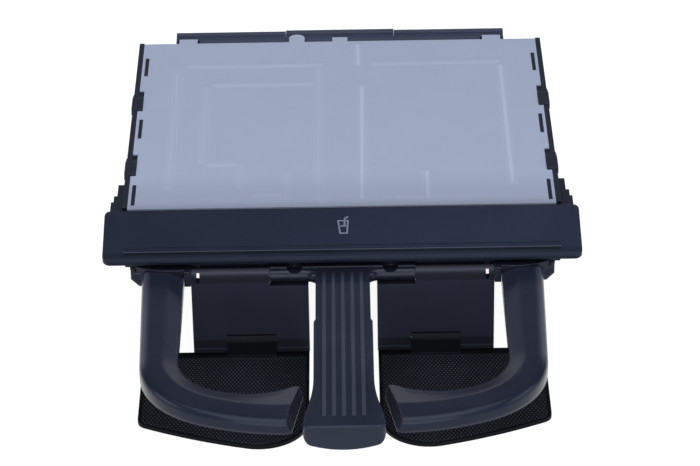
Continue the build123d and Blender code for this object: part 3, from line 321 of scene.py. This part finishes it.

# The beads are pressed with wide soft sides, and the sheet's own edges are cut sharp; all edges carry a
# painted highlight
cover_low, cover_high = (Vector(corner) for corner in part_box("steel_cover"))
across, back = place_along(tree, "X"), place_along(tree, "Y")
side_place, front_place = cover_high.x - side_border, cover_low.y + front_border
rear_place = cover_high.y - rear_border
inside = ramp(tree, from_middle(tree), side_place, side_place - border_fade)
inside = times(tree, inside, ramp(tree, back, front_place, front_place + border_fade))
inside = times(tree, inside, ramp(tree, back, rear_place, rear_place - border_fade))
edges = placed_group(tree, soft_edges, {})
edge_radius = plus(tree, times(tree, inside, press_radius - cut_radius), cut_radius)
tree.links.new(edge_radius, edges.inputs["Radius"])
coat_edge_highlight = maths(tree, "MINIMUM", times(tree, edges.outputs["Rim"], press_gain), 1.0)
coat_colour = blend(tree, coat_edge_highlight, flake.outputs["Color"], zinc_edge_highlight)

# Painted highlight on the bead crowns: palest on the front-to-back beads right of the middle, faint on the
# left-hand beads
on_short_bead = ramp(tree, back, short_bead_rear, short_bead_rear - short_bead_fade)
on_short_bead = times(tree, stripe(tree, across, short_bead, bead_width), on_short_bead)
on_middle_bead = stripe(tree, across, middle_bead, middle_bead_width)
on_long_beads = plus(tree, on_middle_bead, stripe(tree, across, right_bead, bead_width))
on_left_beads = times(tree, ramp(tree, across, left_bead_side, -left_bead_side), left_bead_share)
highlighted = plus(tree, plus(tree, on_short_bead, on_long_beads), on_left_beads)
crown = ramp(tree, place_along(tree, "Z"), cover_high.z - crown_foot, cover_high.z - crown_head)
coat_colour = blend(tree, times(tree, crown, highlighted), coat_colour, zinc_crown_highlight)

# Painted shadow of the flap: the front strip, close under the flap's edge, is darker
flap_shadow = times(tree, ramp(tree, back, shadow_start, shadow_full), shadow_share)
flap_shadow = plus(tree, flap_shadow, times(tree, ramp(tree, back, shade_start, shade_full), shade_share))
tree.links.new(blend(tree, flap_shadow, coat_colour, zinc_shade), shader.inputs["Base Color"])
tree.links.new(coat.outputs["Roughness"], shader.inputs["Roughness"])
shallow = tree.nodes.new("ShaderNodeMix")
shallow.data_type = "VECTOR"
shallow.inputs["B"].default_value = (0.0, 0.0, 1.0)
tree.links.new(times(tree, inside, bead_softness), shallow.inputs["Factor"])
tree.links.new(edges.outputs["Normal"], shallow.inputs["A"])
coat_bump = tree.nodes.new("ShaderNodeBump")
coat_bump.inputs["Strength"].default_value = 0.3
coat_bump.inputs["Distance"].default_value = 0.02 * mm
tree.links.new(coat.outputs["Height"], coat_bump.inputs["Height"])
tree.links.new(shallow.outputs["Result"], coat_bump.inputs["Normal"])
tree.links.new(coat_bump.outputs["Normal"], shader.inputs["Normal"])
shader.inputs["Metallic"].default_value = 0.08
shader.inputs["Specular IOR Level"].default_value = 0.12
dress(zinc_coat, "steel_cover")


# Flap: the wide front panel, which lies open over the tray's root with its long groove.
# Moulded in blue-grey plastic with a fine grain, like the rest of the dashboard.
# A small sign of a cup with a straw is printed in the middle, standing just proud.
flap_colour = (0.0125, 0.0165, 0.0320, 1.0)
# Edge colour: partly rubbed wear, partly a painted highlight
flap_wear_and_highlight = (0.026, 0.032, 0.056, 1.0)
flap_shade = (0.0036, 0.0047, 0.0092, 1.0)
flap_low_shade = (0.0092, 0.0122, 0.0238, 1.0)
flap_lip_highlight = (0.060, 0.068, 0.094, 1.0)
flap_edge = Vector((0.0, -1.8, 15.0)) * mm
flap_tilt = radians(16.0)
groove_top, groove_lip, groove_half = 20.7 * mm, 23.1 * mm, 86.4 * mm
lip_width = 0.5 * mm
upper_shade_width, upper_shade_share = 0.9 * mm, 0.5
lower_line_drop, lower_line_width = 1.25 * mm, 2.0 * mm
below_fade = 1.0 * mm
left_tone, tone_gain = 0.90, 0.34
flap_satin = moulded_plastic(
    "flap_satin",
    flap_colour,
    flap_wear_and_highlight,
    roughness=0.44,
    specular=0.12,
    grain=2100.0,
    relief=0.008 * mm,
    edge=0.4 * mm,
)

# Painted shade under the groove's upper edge, a painted highlight along its lower lip with a painted dark
# line just below it, and painted shade on the face below the groove
tree = flap_satin.node_tree
slope_start = flap_edge.y * cos(flap_tilt) + flap_edge.z * sin(flap_tilt)
slope_back = times(tree, place_along(tree, "Y"), cos(flap_tilt))
slope_up = times(tree, place_along(tree, "Z"), sin(flap_tilt))
down_flap = maths(tree, "SUBTRACT", slope_start, plus(tree, slope_back, slope_up))
along_groove = ramp(tree, from_middle(tree), groove_half + lip_width, groove_half)
groove_dark_lines = times(tree, stripe(tree, down_flap, groove_top, upper_shade_width), upper_shade_share)
groove_dark_lines = plus(tree, groove_dark_lines, stripe(tree, down_flap, groove_lip + lower_line_drop, lower_line_width))
below = ramp(tree, down_flap, groove_lip, groove_lip + below_fade)
face_colour = blend(tree, below, flap_colour, flap_low_shade)
face_colour = blend(tree, times(tree, groove_dark_lines, along_groove), face_colour, flap_shade)
lip_highlight = times(tree, stripe(tree, down_flap, groove_lip, 2 * lip_width), along_groove)
face_colour = blend(tree, lip_highlight, face_colour, flap_lip_highlight)

# Painted light: the flap is a little paler towards its right end
flap_left, flap_right = (corner[0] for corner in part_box("flap"))
lit_towards_right = tree.nodes.new("ShaderNodeHueSaturation")
right_light = times(tree, ramp(tree, place_along(tree, "X"), flap_left, flap_right), tone_gain)
tree.links.new(plus(tree, right_light, left_tone), lit_towards_right.inputs["Value"])
tree.links.new(face_colour, lit_towards_right.inputs["Color"])
paint(tree, lit_towards_right.outputs["Color"])
dress(flap_satin, "flap")

sign_colour = (0.150, 0.165, 0.225, 1.0)
sign_left, sign_right = -1.88 * mm, 2.75 * mm
sign_foot_left, sign_foot_right = -1.06 * mm, 2.30 * mm
sign_rim, sign_foot = 7.3 * mm, 14.8 * mm
sign_fill_line = 10.5 * mm
sign_stroke = 0.62 * mm
sign_rise = 0.05 * mm
straw_foot = (0.99 * mm, 10.3 * mm)
straw_bend = (1.12 * mm, 6.5 * mm)
straw_tip = (2.45 * mm, 5.3 * mm)
straw_width = 0.75 * mm


def on_flap(along, down, rise):
    """Point on the flap's face, from its distances across, down and above the face."""
    down_slope = Vector((0.0, -cos(flap_tilt), -sin(flap_tilt)))
    outwards = Vector((0.0, -sin(flap_tilt), cos(flap_tilt)))
    return flap_edge + Vector((along, 0.0, 0.0)) + down_slope * down + outwards * rise


def piece(name, bm, material, body):
    """Finished mesh as an object that rides on a body, with the given material."""
    bmesh.ops.recalc_face_normals(bm, faces=bm.faces)
    mesh = bpy.data.meshes.new(name)
    bm.to_mesh(mesh)
    bm.free()
    made = bpy.data.objects.new(name, mesh)
    made.data.materials.append(material)
    bpy.context.scene.collection.objects.link(made)
    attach(made, body)
    return made


def raised(bm, rise):
    """Extrude all the flat faces of a mesh into a slab of printed ink or moulding."""
    grown = bmesh.ops.extrude_face_region(bm, geom=bm.faces[:], use_keep_orig=True)["geom"]
    bmesh.ops.translate(bm, verts=[v for v in grown if isinstance(v, bmesh.types.BMVert)], vec=rise)


def stroke(bm, start, end, width):
    """Straight printed stroke between two places on the flap."""
    run = Vector(end) - Vector(start)
    side = Vector((-run.y, run.x)).normalized() * width / 2
    corners = (Vector(start) + side, Vector(end) + side, Vector(end) - side, Vector(start) - side)
    bm.faces.new([bm.verts.new(on_flap(corner.x, corner.y, -sign_rise)) for corner in corners])


sign_ink = moulded_plastic(
    "sign_ink",
    sign_colour,
    sign_colour,
    roughness=0.6,
    specular=0.3,
    grain=2600.0,
    relief=0.004 * mm,
    edge=0.02 * mm,
    cloud=0.2,
)
bm = bmesh.new()
cup_corners = (
    (sign_left, sign_rim),
    (sign_right, sign_rim),
    (sign_foot_right, sign_foot),
    (sign_foot_left, sign_foot),
)
cup = bm.faces.new([bm.verts.new(on_flap(along, down, -sign_rise)) for along, down in cup_corners])
bm.normal_update()
bmesh.ops.inset_region(bm, faces=[cup], thickness=sign_stroke, use_even_offset=True, use_boundary=True)
bmesh.ops.delete(bm, geom=[cup], context="FACES_ONLY")
stroke(bm, (sign_foot_left - sign_stroke / 2, sign_fill_line), (sign_foot_right, sign_fill_line), sign_stroke)
stroke(bm, straw_foot, straw_bend, straw_width)
stroke(bm, straw_bend, straw_tip, straw_width)
raised(bm, on_flap(0, 0, 2 * sign_rise) - flap_edge)
piece("cup_sign", bm, sign_ink, "flap")


# Flap pins and springs: each lug of the flap turns on a steel pin in the housing's ear.
# A close-wound torsion spring on the pin lifts the flap. Both are drawn steel wire.
steel_colour = (0.42, 0.42, 0.43, 1.0)
spring_colour = (0.20, 0.20, 0.21, 1.0)
flap_wire = 0.9 * mm
coil_spacing = 1.04
coil_steps, wire_sides = 20, 8


def drawn_steel(name, colour, roughness):
    """Drawn steel wire with a fine speckle and a cloudy sheen."""
    material, tree, shader, place = new_material(name)
    skin = placed_group(
        tree,
        moulded_skin,
        {"Colour": colour, "Cloud": 0.3, "Grain": 3200.0, "Speckle": 0.4, "Roughness": roughness},
    )
    tree.links.new(place, skin.inputs["Place"])
    tree.links.new(skin.outputs["Colour"], shader.inputs["Base Color"])
    tree.links.new(skin.outputs["Roughness"], shader.inputs["Roughness"])
    shader.inputs["Metallic"].default_value = 1.0
    return material


bright_pin = drawn_steel("bright_pin", steel_colour, roughness=0.3)
spring_wire = drawn_steel("spring_wire", spring_colour, roughness=0.34)


def wound_coil(name, node, axis, wire, body):
    """Close-wound coil in the place of a plain sleeve, along the X or Z axis."""
    low, high = (Vector(corner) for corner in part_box(node))
    middle = (low + high) / 2
    size = high - low
    length = size.x if axis == "X" else size.z
    outer = size.z / 2 if axis == "X" else size.x / 2
    turns = max(2, round(length / wire / coil_spacing))
    pitch = (length - wire) / turns
    bm = bmesh.new()
    bmesh.ops.create_circle(bm, segments=wire_sides, radius=wire / 2)
    bmesh.ops.rotate(bm, verts=bm.verts, matrix=Matrix.Rotation(pi / 2, 3, "X"))
    bmesh.ops.translate(bm, verts=bm.verts, vec=(outer - wire / 2, 0, (wire - length) / 2))
    bmesh.ops.spin(
        bm,
        geom=bm.verts[:] + bm.edges[:],
        axis=(0, 0, 1),
        cent=(0, 0, 0),
        dvec=(0, 0, pitch / coil_steps),
        angle=2 * pi * turns,
        steps=coil_steps * turns,
    )
    bmesh.ops.holes_fill(bm, edges=[edge for edge in bm.edges if edge.is_boundary])
    if axis == "X":
        bmesh.ops.rotate(bm, verts=bm.verts, matrix=Matrix.Rotation(pi / 2, 3, "Y"))
    bmesh.ops.translate(bm, verts=bm.verts, vec=middle)
    for surface in bm.faces:
        surface.smooth = len(surface.verts) == 4
    coil = piece(name, bm, spring_wire, body)
    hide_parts(node)


for side in ("left", "right"):
    dress(bright_pin, f"{side}_flap_pin")
    wound_coil(f"{side}_flap_coil", f"{side}_flap_spring", "X", flap_wire, "housing")


# Carriage: the sliding moulding with the crossbar and the ribbed middle tongue.
# One piece of satin plastic, blue-grey on the tongue like the arms; its colour grades darker, to near-black,
# on the frame.
# The grip ribs stand half a millimetre proud, and their crowns carry a painted highlight.
tray_colour = (0.0130, 0.0168, 0.0318, 1.0)
# Edge colour: partly rubbed wear, partly a painted highlight
tray_wear_and_highlight = (0.030, 0.034, 0.052, 1.0)
frame_colour = (0.0100, 0.0115, 0.0205, 1.0)
rib_highlight = (0.036, 0.041, 0.062, 1.0)
frame_front, tongue_rear = -30.0 * mm, -40.0 * mm
rib_foot, rib_crown = 2.2 * mm, 2.45 * mm
tray_satin = moulded_plastic(
    "tray_satin",
    frame_colour,
    tray_wear_and_highlight,
    roughness=0.22,
    specular=0.25,
    grain=2300.0,
    relief=0.003 * mm,
    edge=0.4 * mm,
)
tree = tray_satin.node_tree
on_tongue = ramp(tree, place_along(tree, "Y"), frame_front, tongue_rear)
on_rib = times(tree, ramp(tree, place_along(tree, "Z"), rib_foot, rib_crown), on_tongue)
tongue_colour = blend(tree, on_tongue, frame_colour, tray_colour)
paint(tree, blend(tree, on_rib, tongue_colour, rib_highlight))
dress(tray_satin, "carriage")


# Arms: hooked grips that swing on upright pins under the carriage's round corners.
# Moulded in satin blue-grey plastic with softly rounded edges, sharper at the hook's end.
# A torsion spring in the boss draws each arm in.
arm_colour = (0.0122, 0.0150, 0.0285, 1.0)
# Edge colour: partly rubbed wear, partly a painted highlight
arm_wear_and_highlight = (0.044, 0.048, 0.070, 1.0)
arm_outer_highlight = (0.052, 0.057, 0.080, 1.0)
arm_radius, tip_radius = 2.2 * mm, 0.35 * mm
tip_side, tip_fade = 18.0 * mm, 7.0 * mm
highlight_line, highlight_slant = 79.3 * mm, 0.032
highlight_inside, highlight_outside = 3.0 * mm, 1.1 * mm
bend_start, bend_fade = -92.0 * mm, 10.0 * mm
arm_wire = 1.15 * mm
arm_satin = moulded_plastic(
    "arm_satin",
    arm_colour,
    arm_wear_and_highlight,
    roughness=0.24,
    specular=0.20,
    grain=2300.0,
    relief=0.003 * mm,
)
tree = arm_satin.node_tree
from_tip = ramp(tree, from_middle(tree), tip_side, tip_side + tip_fade)
arm_round = plus(tree, times(tree, from_tip, arm_radius - tip_radius), tip_radius)
tree.links.new(arm_round, tree.nodes["edges"].inputs["Radius"])

# Painted highlight along the outer edge of the straight stretch
back = place_along(tree, "Y")
towards_edge = maths(tree, "SUBTRACT", from_middle(tree), times(tree, back, highlight_slant))
outer_highlight = ramp(tree, towards_edge, highlight_line - highlight_inside, highlight_line)
outer_highlight = times(tree, outer_highlight, ramp(tree, towards_edge, highlight_line + highlight_outside, highlight_line))
outer_highlight = times(tree, outer_highlight, ramp(tree, back, bend_start - bend_fade, bend_start))
paint(tree, blend(tree, outer_highlight, arm_colour, arm_outer_highlight))
dress(arm_satin, "left_arm", "right_arm")
for side in ("left", "right"):
    dress(bright_pin, f"{side}_arm_pin")
    wound_coil(f"{side}_arm_coil", f"{side}_arm_spring", "Z", arm_wire, "carriage")


# Drop plates: flat plates that hang from the crossbar on steel rods and carry the floor plates.
# Moulded in near-black plastic; the springs that swing them down lie inside the barrels.
# The barrel's front is rougher and painted dark as shade, with a painted highlight along its crown; the foot
# below the floor hinge is painted dark as shade, with a painted highlight line across it.
drop_colour = (0.0125, 0.0142, 0.0262, 1.0)
# Edge colour: partly rubbed wear, partly a painted highlight
drop_wear_and_highlight = (0.034, 0.036, 0.050, 1.0)
drop_shade = (0.0052, 0.0058, 0.0098, 1.0)
drop_foot_highlight = (0.021, 0.023, 0.036, 1.0)
barrel_highlight = (0.033, 0.034, 0.047, 1.0)
foot_top, foot_fade = -29.4 * mm, 0.2 * mm
foot_line_z, foot_line_width = -33.3 * mm, 0.8 * mm
barrel_front, barrel_front_width, barrel_front_share = -1.2 * mm, 4.6 * mm, 0.6
barrel_crown_low, barrel_crown_high = 0.7 * mm, 1.2 * mm
drop_roughness, barrel_roughening = 0.5, 0.5
drop_wire = 0.9 * mm
floor_wire = 0.7 * mm
drop_black = moulded_plastic(
    "drop_black",
    drop_colour,
    drop_wear_and_highlight,
    roughness=drop_roughness,
    specular=0.22,
    grain=2000.0,
    relief=0.008 * mm,
)
tree = drop_black.node_tree
up = place_along(tree, "Z")
on_foot = ramp(tree, up, foot_top + foot_fade, foot_top - foot_fade)
plate_colour = blend(tree, on_foot, drop_colour, drop_shade)
plate_colour = blend(tree, stripe(tree, up, foot_line_z, foot_line_width), plate_colour, drop_foot_highlight)
on_front = times(tree, stripe(tree, up, barrel_front, barrel_front_width), barrel_front_share)
plate_colour = blend(tree, on_front, plate_colour, drop_shade)
on_barrel_crown = ramp(tree, up, barrel_crown_low, barrel_crown_high)
paint(tree, blend(tree, on_barrel_crown, plate_colour, barrel_highlight))
roughened = plus(tree, times(tree, on_front, barrel_roughening), drop_roughness)
tree.links.new(roughened, tree.nodes["skin"].inputs["Roughness"])
for side in ("left", "right"):
    dress(drop_black, f"{side}_drop_plate")
    dress(bright_pin, f"{side}_drop_rod", f"{side}_floor_rod")
    wound_coil(f"{side}_drop_coil", f"{side}_drop_spring", "X", drop_wire, f"{side}_drop")
    wound_coil(f"{side}_floor_coil", f"{side}_floor_spring", "X", floor_wire, f"{side}_drop")


# Floor plates: the trays that the cups stand on, with a thin rim.
# Moulded in the same near-black plastic; the recess has a raised lozenge grain against slipping.
lozenge_pitch = 1.35 * mm
lozenge_slope = radians(27.0)
lozenge_rise = 0.34 * mm
mat_thickness = 0.1 * mm
level_face, level_step = 0.99, 0.02
weld_distance, cut_distance = 0.001 * mm, 0.0001 * mm
floor_colour = (0.0028, 0.0031, 0.0046, 1.0)
# Edge colour: partly rubbed wear, partly a painted highlight
floor_wear_and_highlight = (0.014, 0.015, 0.022, 1.0)
grip_colour = (0.0022, 0.0025, 0.0038, 1.0)
grip_crown_highlight = (0.056, 0.060, 0.082, 1.0)
crown_start, crown_full = 0.6 * lozenge_rise, 0.2 * lozenge_rise
floor_black = moulded_plastic(
    "floor_black",
    floor_colour,
    floor_wear_and_highlight,
    roughness=0.5,
    specular=0.1,
    grain=2000.0,
    relief=0.008 * mm,
)
grip_black = moulded_plastic(
    "grip_black",
    grip_colour,
    floor_wear_and_highlight,
    roughness=0.3,
    specular=0.35,
    grain=2000.0,
    relief=0.004 * mm,
    edge=0.05 * mm,
)


def lozenge_mat(name, node, body):
    """Lozenge grain over a floor plate's recess, cut from the recess's own outline."""
    bm = bmesh.new()
    bm.from_mesh(nodes[node].data)
    bmesh.ops.remove_doubles(bm, verts=bm.verts, dist=weld_distance)
    area = {}
    for surface in bm.faces:
        if surface.normal.z > level_face:
            level = round(surface.calc_center_median().z / mm, 2)
            area[level] = area.get(level, 0.0) + surface.calc_area()
    recess_level = max(area, key=area.get)
    recess = [
        surface
        for surface in bm.faces
        if surface.normal.z >= level_face
        and abs(surface.calc_center_median().z / mm - recess_level) <= level_step
    ]
    others = [surface for surface in bm.faces if surface not in recess]
    bmesh.ops.delete(bm, geom=others, context="FACES")
    bmesh.ops.dissolve_faces(bm, faces=bm.faces[:])
    low, high = (Vector(corner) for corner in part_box(node))
    middle = (low + high) / 2
    cuts = int((high - low).length / 2 / lozenge_pitch)
    for turn in (lozenge_slope, -lozenge_slope):
        across = Vector((cos(turn), sin(turn), 0.0))
        for cut in range(-cuts, cuts + 1):
            bmesh.ops.bisect_plane(
                bm,
                geom=bm.verts[:] + bm.edges[:] + bm.faces[:],
                plane_co=middle + across * cut * lozenge_pitch,
                plane_no=across,
                dist=cut_distance,
            )
    raised(bm, (0, 0, mat_thickness))
    bmesh.ops.recalc_face_normals(bm, faces=bm.faces)
    crowns = [surface for surface in bm.faces if surface.normal.z > level_face]
    bmesh.ops.poke(bm, faces=crowns, offset=lozenge_rise)
    return piece(name, bm, grip_black, body)


for side in ("left", "right"):
    dress(floor_black, f"{side}_floor_plate")
    floor_grain = lozenge_mat(f"{side}_floor_grain", f"{side}_floor_plate", f"{side}_floor")

# The crowns of the lozenges carry a painted highlight
crown_z = max(vertex.co.z for vertex in floor_grain.data.vertices)
tree = grip_black.node_tree
on_crown = ramp(tree, place_along(tree, "Z"), crown_z - crown_start, crown_z - crown_full)
paint(tree, blend(tree, on_crown, grip_colour, grip_crown_highlight))


# Damper: an oil-filled drum under the carriage whose pinion runs along the housing's rack.
# Both, and the latch's hook, are moulded in natural acetal, which is ivory white and slippery.
acetal_colour = (0.62, 0.60, 0.52, 1.0)
# Edge colour: partly rubbed wear, partly a painted highlight
acetal_wear_and_highlight = (0.72, 0.70, 0.63, 1.0)
acetal = moulded_plastic(
    "acetal",
    acetal_colour,
    acetal_wear_and_highlight,
    roughness=0.4,
    specular=0.45,
    grain=1500.0,
    relief=0.01 * mm,
    edge=0.2 * mm,
    cloud=0.1,
)
dress(acetal, "damper_body", "damper_pinion", "latch_hook")


# Drive spring: a steel band rolled on its pin between two lugs, which pushes the tray out.
# The roll shows its turns at both ends.
band_thickness = 0.26 * mm
band_gap = 0.1 * mm
roll_bore = 1.3 * mm
roll_steps = 40
roll_low, roll_high = (Vector(corner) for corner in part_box("drive_spring"))
roll_middle = (roll_low + roll_high) / 2
roll_outer = (roll_high.z - roll_low.z) / 2
roll_half = (roll_high.x - roll_low.x) / 2
bm = bmesh.new()
turn_outer = roll_outer
while turn_outer - band_thickness > roll_bore:
    corners = (
        (roll_half, turn_outer),
        (-roll_half, turn_outer),
        (-roll_half, turn_outer - band_thickness),
        (roll_half, turn_outer - band_thickness),
    )
    loop = [bm.verts.new((x, 0.0, z)) for x, z in corners]
    band = [bm.edges.new((loop[i], loop[(i + 1) % 4])) for i in range(4)]
    bmesh.ops.spin(
        bm,
        geom=loop + band,
        axis=(1, 0, 0),
        cent=(0, 0, 0),
        angle=2 * pi,
        steps=roll_steps,
        use_merge=True,
    )
    turn_outer -= band_thickness + band_gap
bmesh.ops.remove_doubles(bm, verts=bm.verts, dist=weld_distance)
bmesh.ops.translate(bm, verts=bm.verts, vec=roll_middle)
band_roll = piece("band_roll", bm, spring_wire, "drive_spring")
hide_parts("drive_spring")
dress(bright_pin, "drive_pin")


# Latch: the acetal hook swings on a steel pin in the latch block and holds the tray when it is in.
# A small coil of spring wire on the same pin, above the hook, brings it back.
latch_wire = 0.75 * mm
dress(bright_pin, "latch_pin")
wound_coil("latch_coil", "latch_spring", "Z", latch_wire, "housing")


# Studio: a pale floor just under the cup holder, soft boxes round it, and the camera.
# The floor shows white to the eye and in reflections, and still takes the shadow.
floor_level = cad_low[2] - 0.2 * mm
floor_half = 30.0
paper_colour = (0.5, 0.5, 0.5, 1.0)
veil_colour = (0.20, 0.20, 0.20, 1.0)
glow_strength = 0.93
sky_colour, sky_strength = (0.9, 0.94, 1.0, 1.0), 0.05
lamp_colour = (0.94, 0.97, 1.0)
bm = bmesh.new()
bmesh.ops.create_grid(bm, x_segments=1, y_segments=1, size=floor_half)
bmesh.ops.translate(bm, verts=bm.verts, vec=(0, 0, floor_level))
floor_mesh = bpy.data.meshes.new("studio_floor")
bm.to_mesh(floor_mesh)
bm.free()
studio_floor = bpy.data.objects.new("studio_floor", floor_mesh)
bpy.context.scene.collection.objects.link(studio_floor)
pale_floor = bpy.data.materials.new("pale_floor")
pale_floor.use_nodes = True
tree = pale_floor.node_tree
tree.nodes.clear()
ray = tree.nodes.new("ShaderNodeLightPath")
paper = tree.nodes.new("ShaderNodeBsdfDiffuse")
paper.inputs["Color"].default_value = paper_colour
veil = tree.nodes.new("ShaderNodeBsdfDiffuse")
veil.inputs["Color"].default_value = veil_colour
glow = tree.nodes.new("ShaderNodeEmission")
glow.inputs["Strength"].default_value = glow_strength
lit = tree.nodes.new("ShaderNodeAddShader")
tree.links.new(veil.outputs[0], lit.inputs[0])
tree.links.new(glow.outputs[0], lit.inputs[1])
choice = tree.nodes.new("ShaderNodeMixShader")
seen = maths(tree, "MAXIMUM", ray.outputs["Is Camera Ray"], ray.outputs["Is Glossy Ray"])
tree.links.new(seen, choice.inputs["Fac"])
tree.links.new(paper.outputs[0], choice.inputs[1])
tree.links.new(lit.outputs[0], choice.inputs[2])
floor_surface = tree.nodes.new("ShaderNodeOutputMaterial")
tree.links.new(choice.outputs[0], floor_surface.inputs["Surface"])
floor_mesh.materials.append(pale_floor)

studio = bpy.data.worlds.new("studio")
studio.use_nodes = True
studio.node_tree.nodes["Background"].inputs["Color"].default_value = sky_colour
studio.node_tree.nodes["Background"].inputs["Strength"].default_value = sky_strength
bpy.context.scene.world = studio


def soft_box(name, place, target, width, height, watts):
    """Rectangular area lamp that faces a point."""
    lamp = bpy.data.lights.new(name, "AREA")
    lamp.shape = "RECTANGLE"
    lamp.size = width
    lamp.size_y = height
    lamp.energy = watts
    lamp.color = lamp_colour
    box = bpy.data.objects.new(name, lamp)
    box.location = place
    box.rotation_euler = (Vector(target) - Vector(place)).to_track_quat("-Z", "Y").to_euler()
    bpy.context.scene.collection.objects.link(box)


soft_box("key_box", (0.0, -0.6, 1.5), (0.0, 0.0, 0.0), 1.8, 0.8, 16.0)
soft_box("window_box", (0.0, -1.35, 1.0), (0.0, 0.0, 0.0), 1.8, 0.4, 8.0)
soft_box("overhead_box", (0.0, 0.2, 1.5), (0.0, 0.0, 0.0), 1.8, 0.6, 7.0)
soft_box("back_strip", (0.0, 1.7, 0.58), (0.0, 0.0, 0.0), 3.0, 0.60, 4.2)
soft_box("left_box", (-1.3, -0.1, 0.5), (0.0, -0.02, 0.0), 0.8, 0.5, 4.0)
soft_box("right_box", (1.3, -0.1, 0.5), (0.0, -0.02, 0.0), 0.8, 0.5, 4.0)
soft_box("front_box", (0.0, -1.6, 0.25), (0.0, -0.05, 0.0), 1.8, 0.5, 12.0)

camera_place = Vector((3.176, -1108.206, 641.764)) * mm
camera_tilt = radians(30.0)
camera_roll = radians(0.895)
camera_data = bpy.data.cameras.new("photo_camera")
camera_data.sensor_fit = "HORIZONTAL"
camera_data.sensor_width = 36.0
camera_data.lens = 163.06
camera = bpy.data.objects.new("photo_camera", camera_data)
forward = Vector((0.0, cos(camera_tilt), -sin(camera_tilt)))
upright = Vector((0.0, sin(camera_tilt), cos(camera_tilt)))
right = cos(camera_roll) * Vector((1.0, 0.0, 0.0)) - sin(camera_roll) * upright
facing = Matrix((right, (-forward).cross(right), -forward)).transposed()
camera.matrix_world = Matrix.Translation(camera_place) @ facing.to_4x4()
bpy.context.scene.collection.objects.link(camera)
bpy.context.scene.camera = camera
bpy.context.scene.view_settings.view_transform = "Standard"
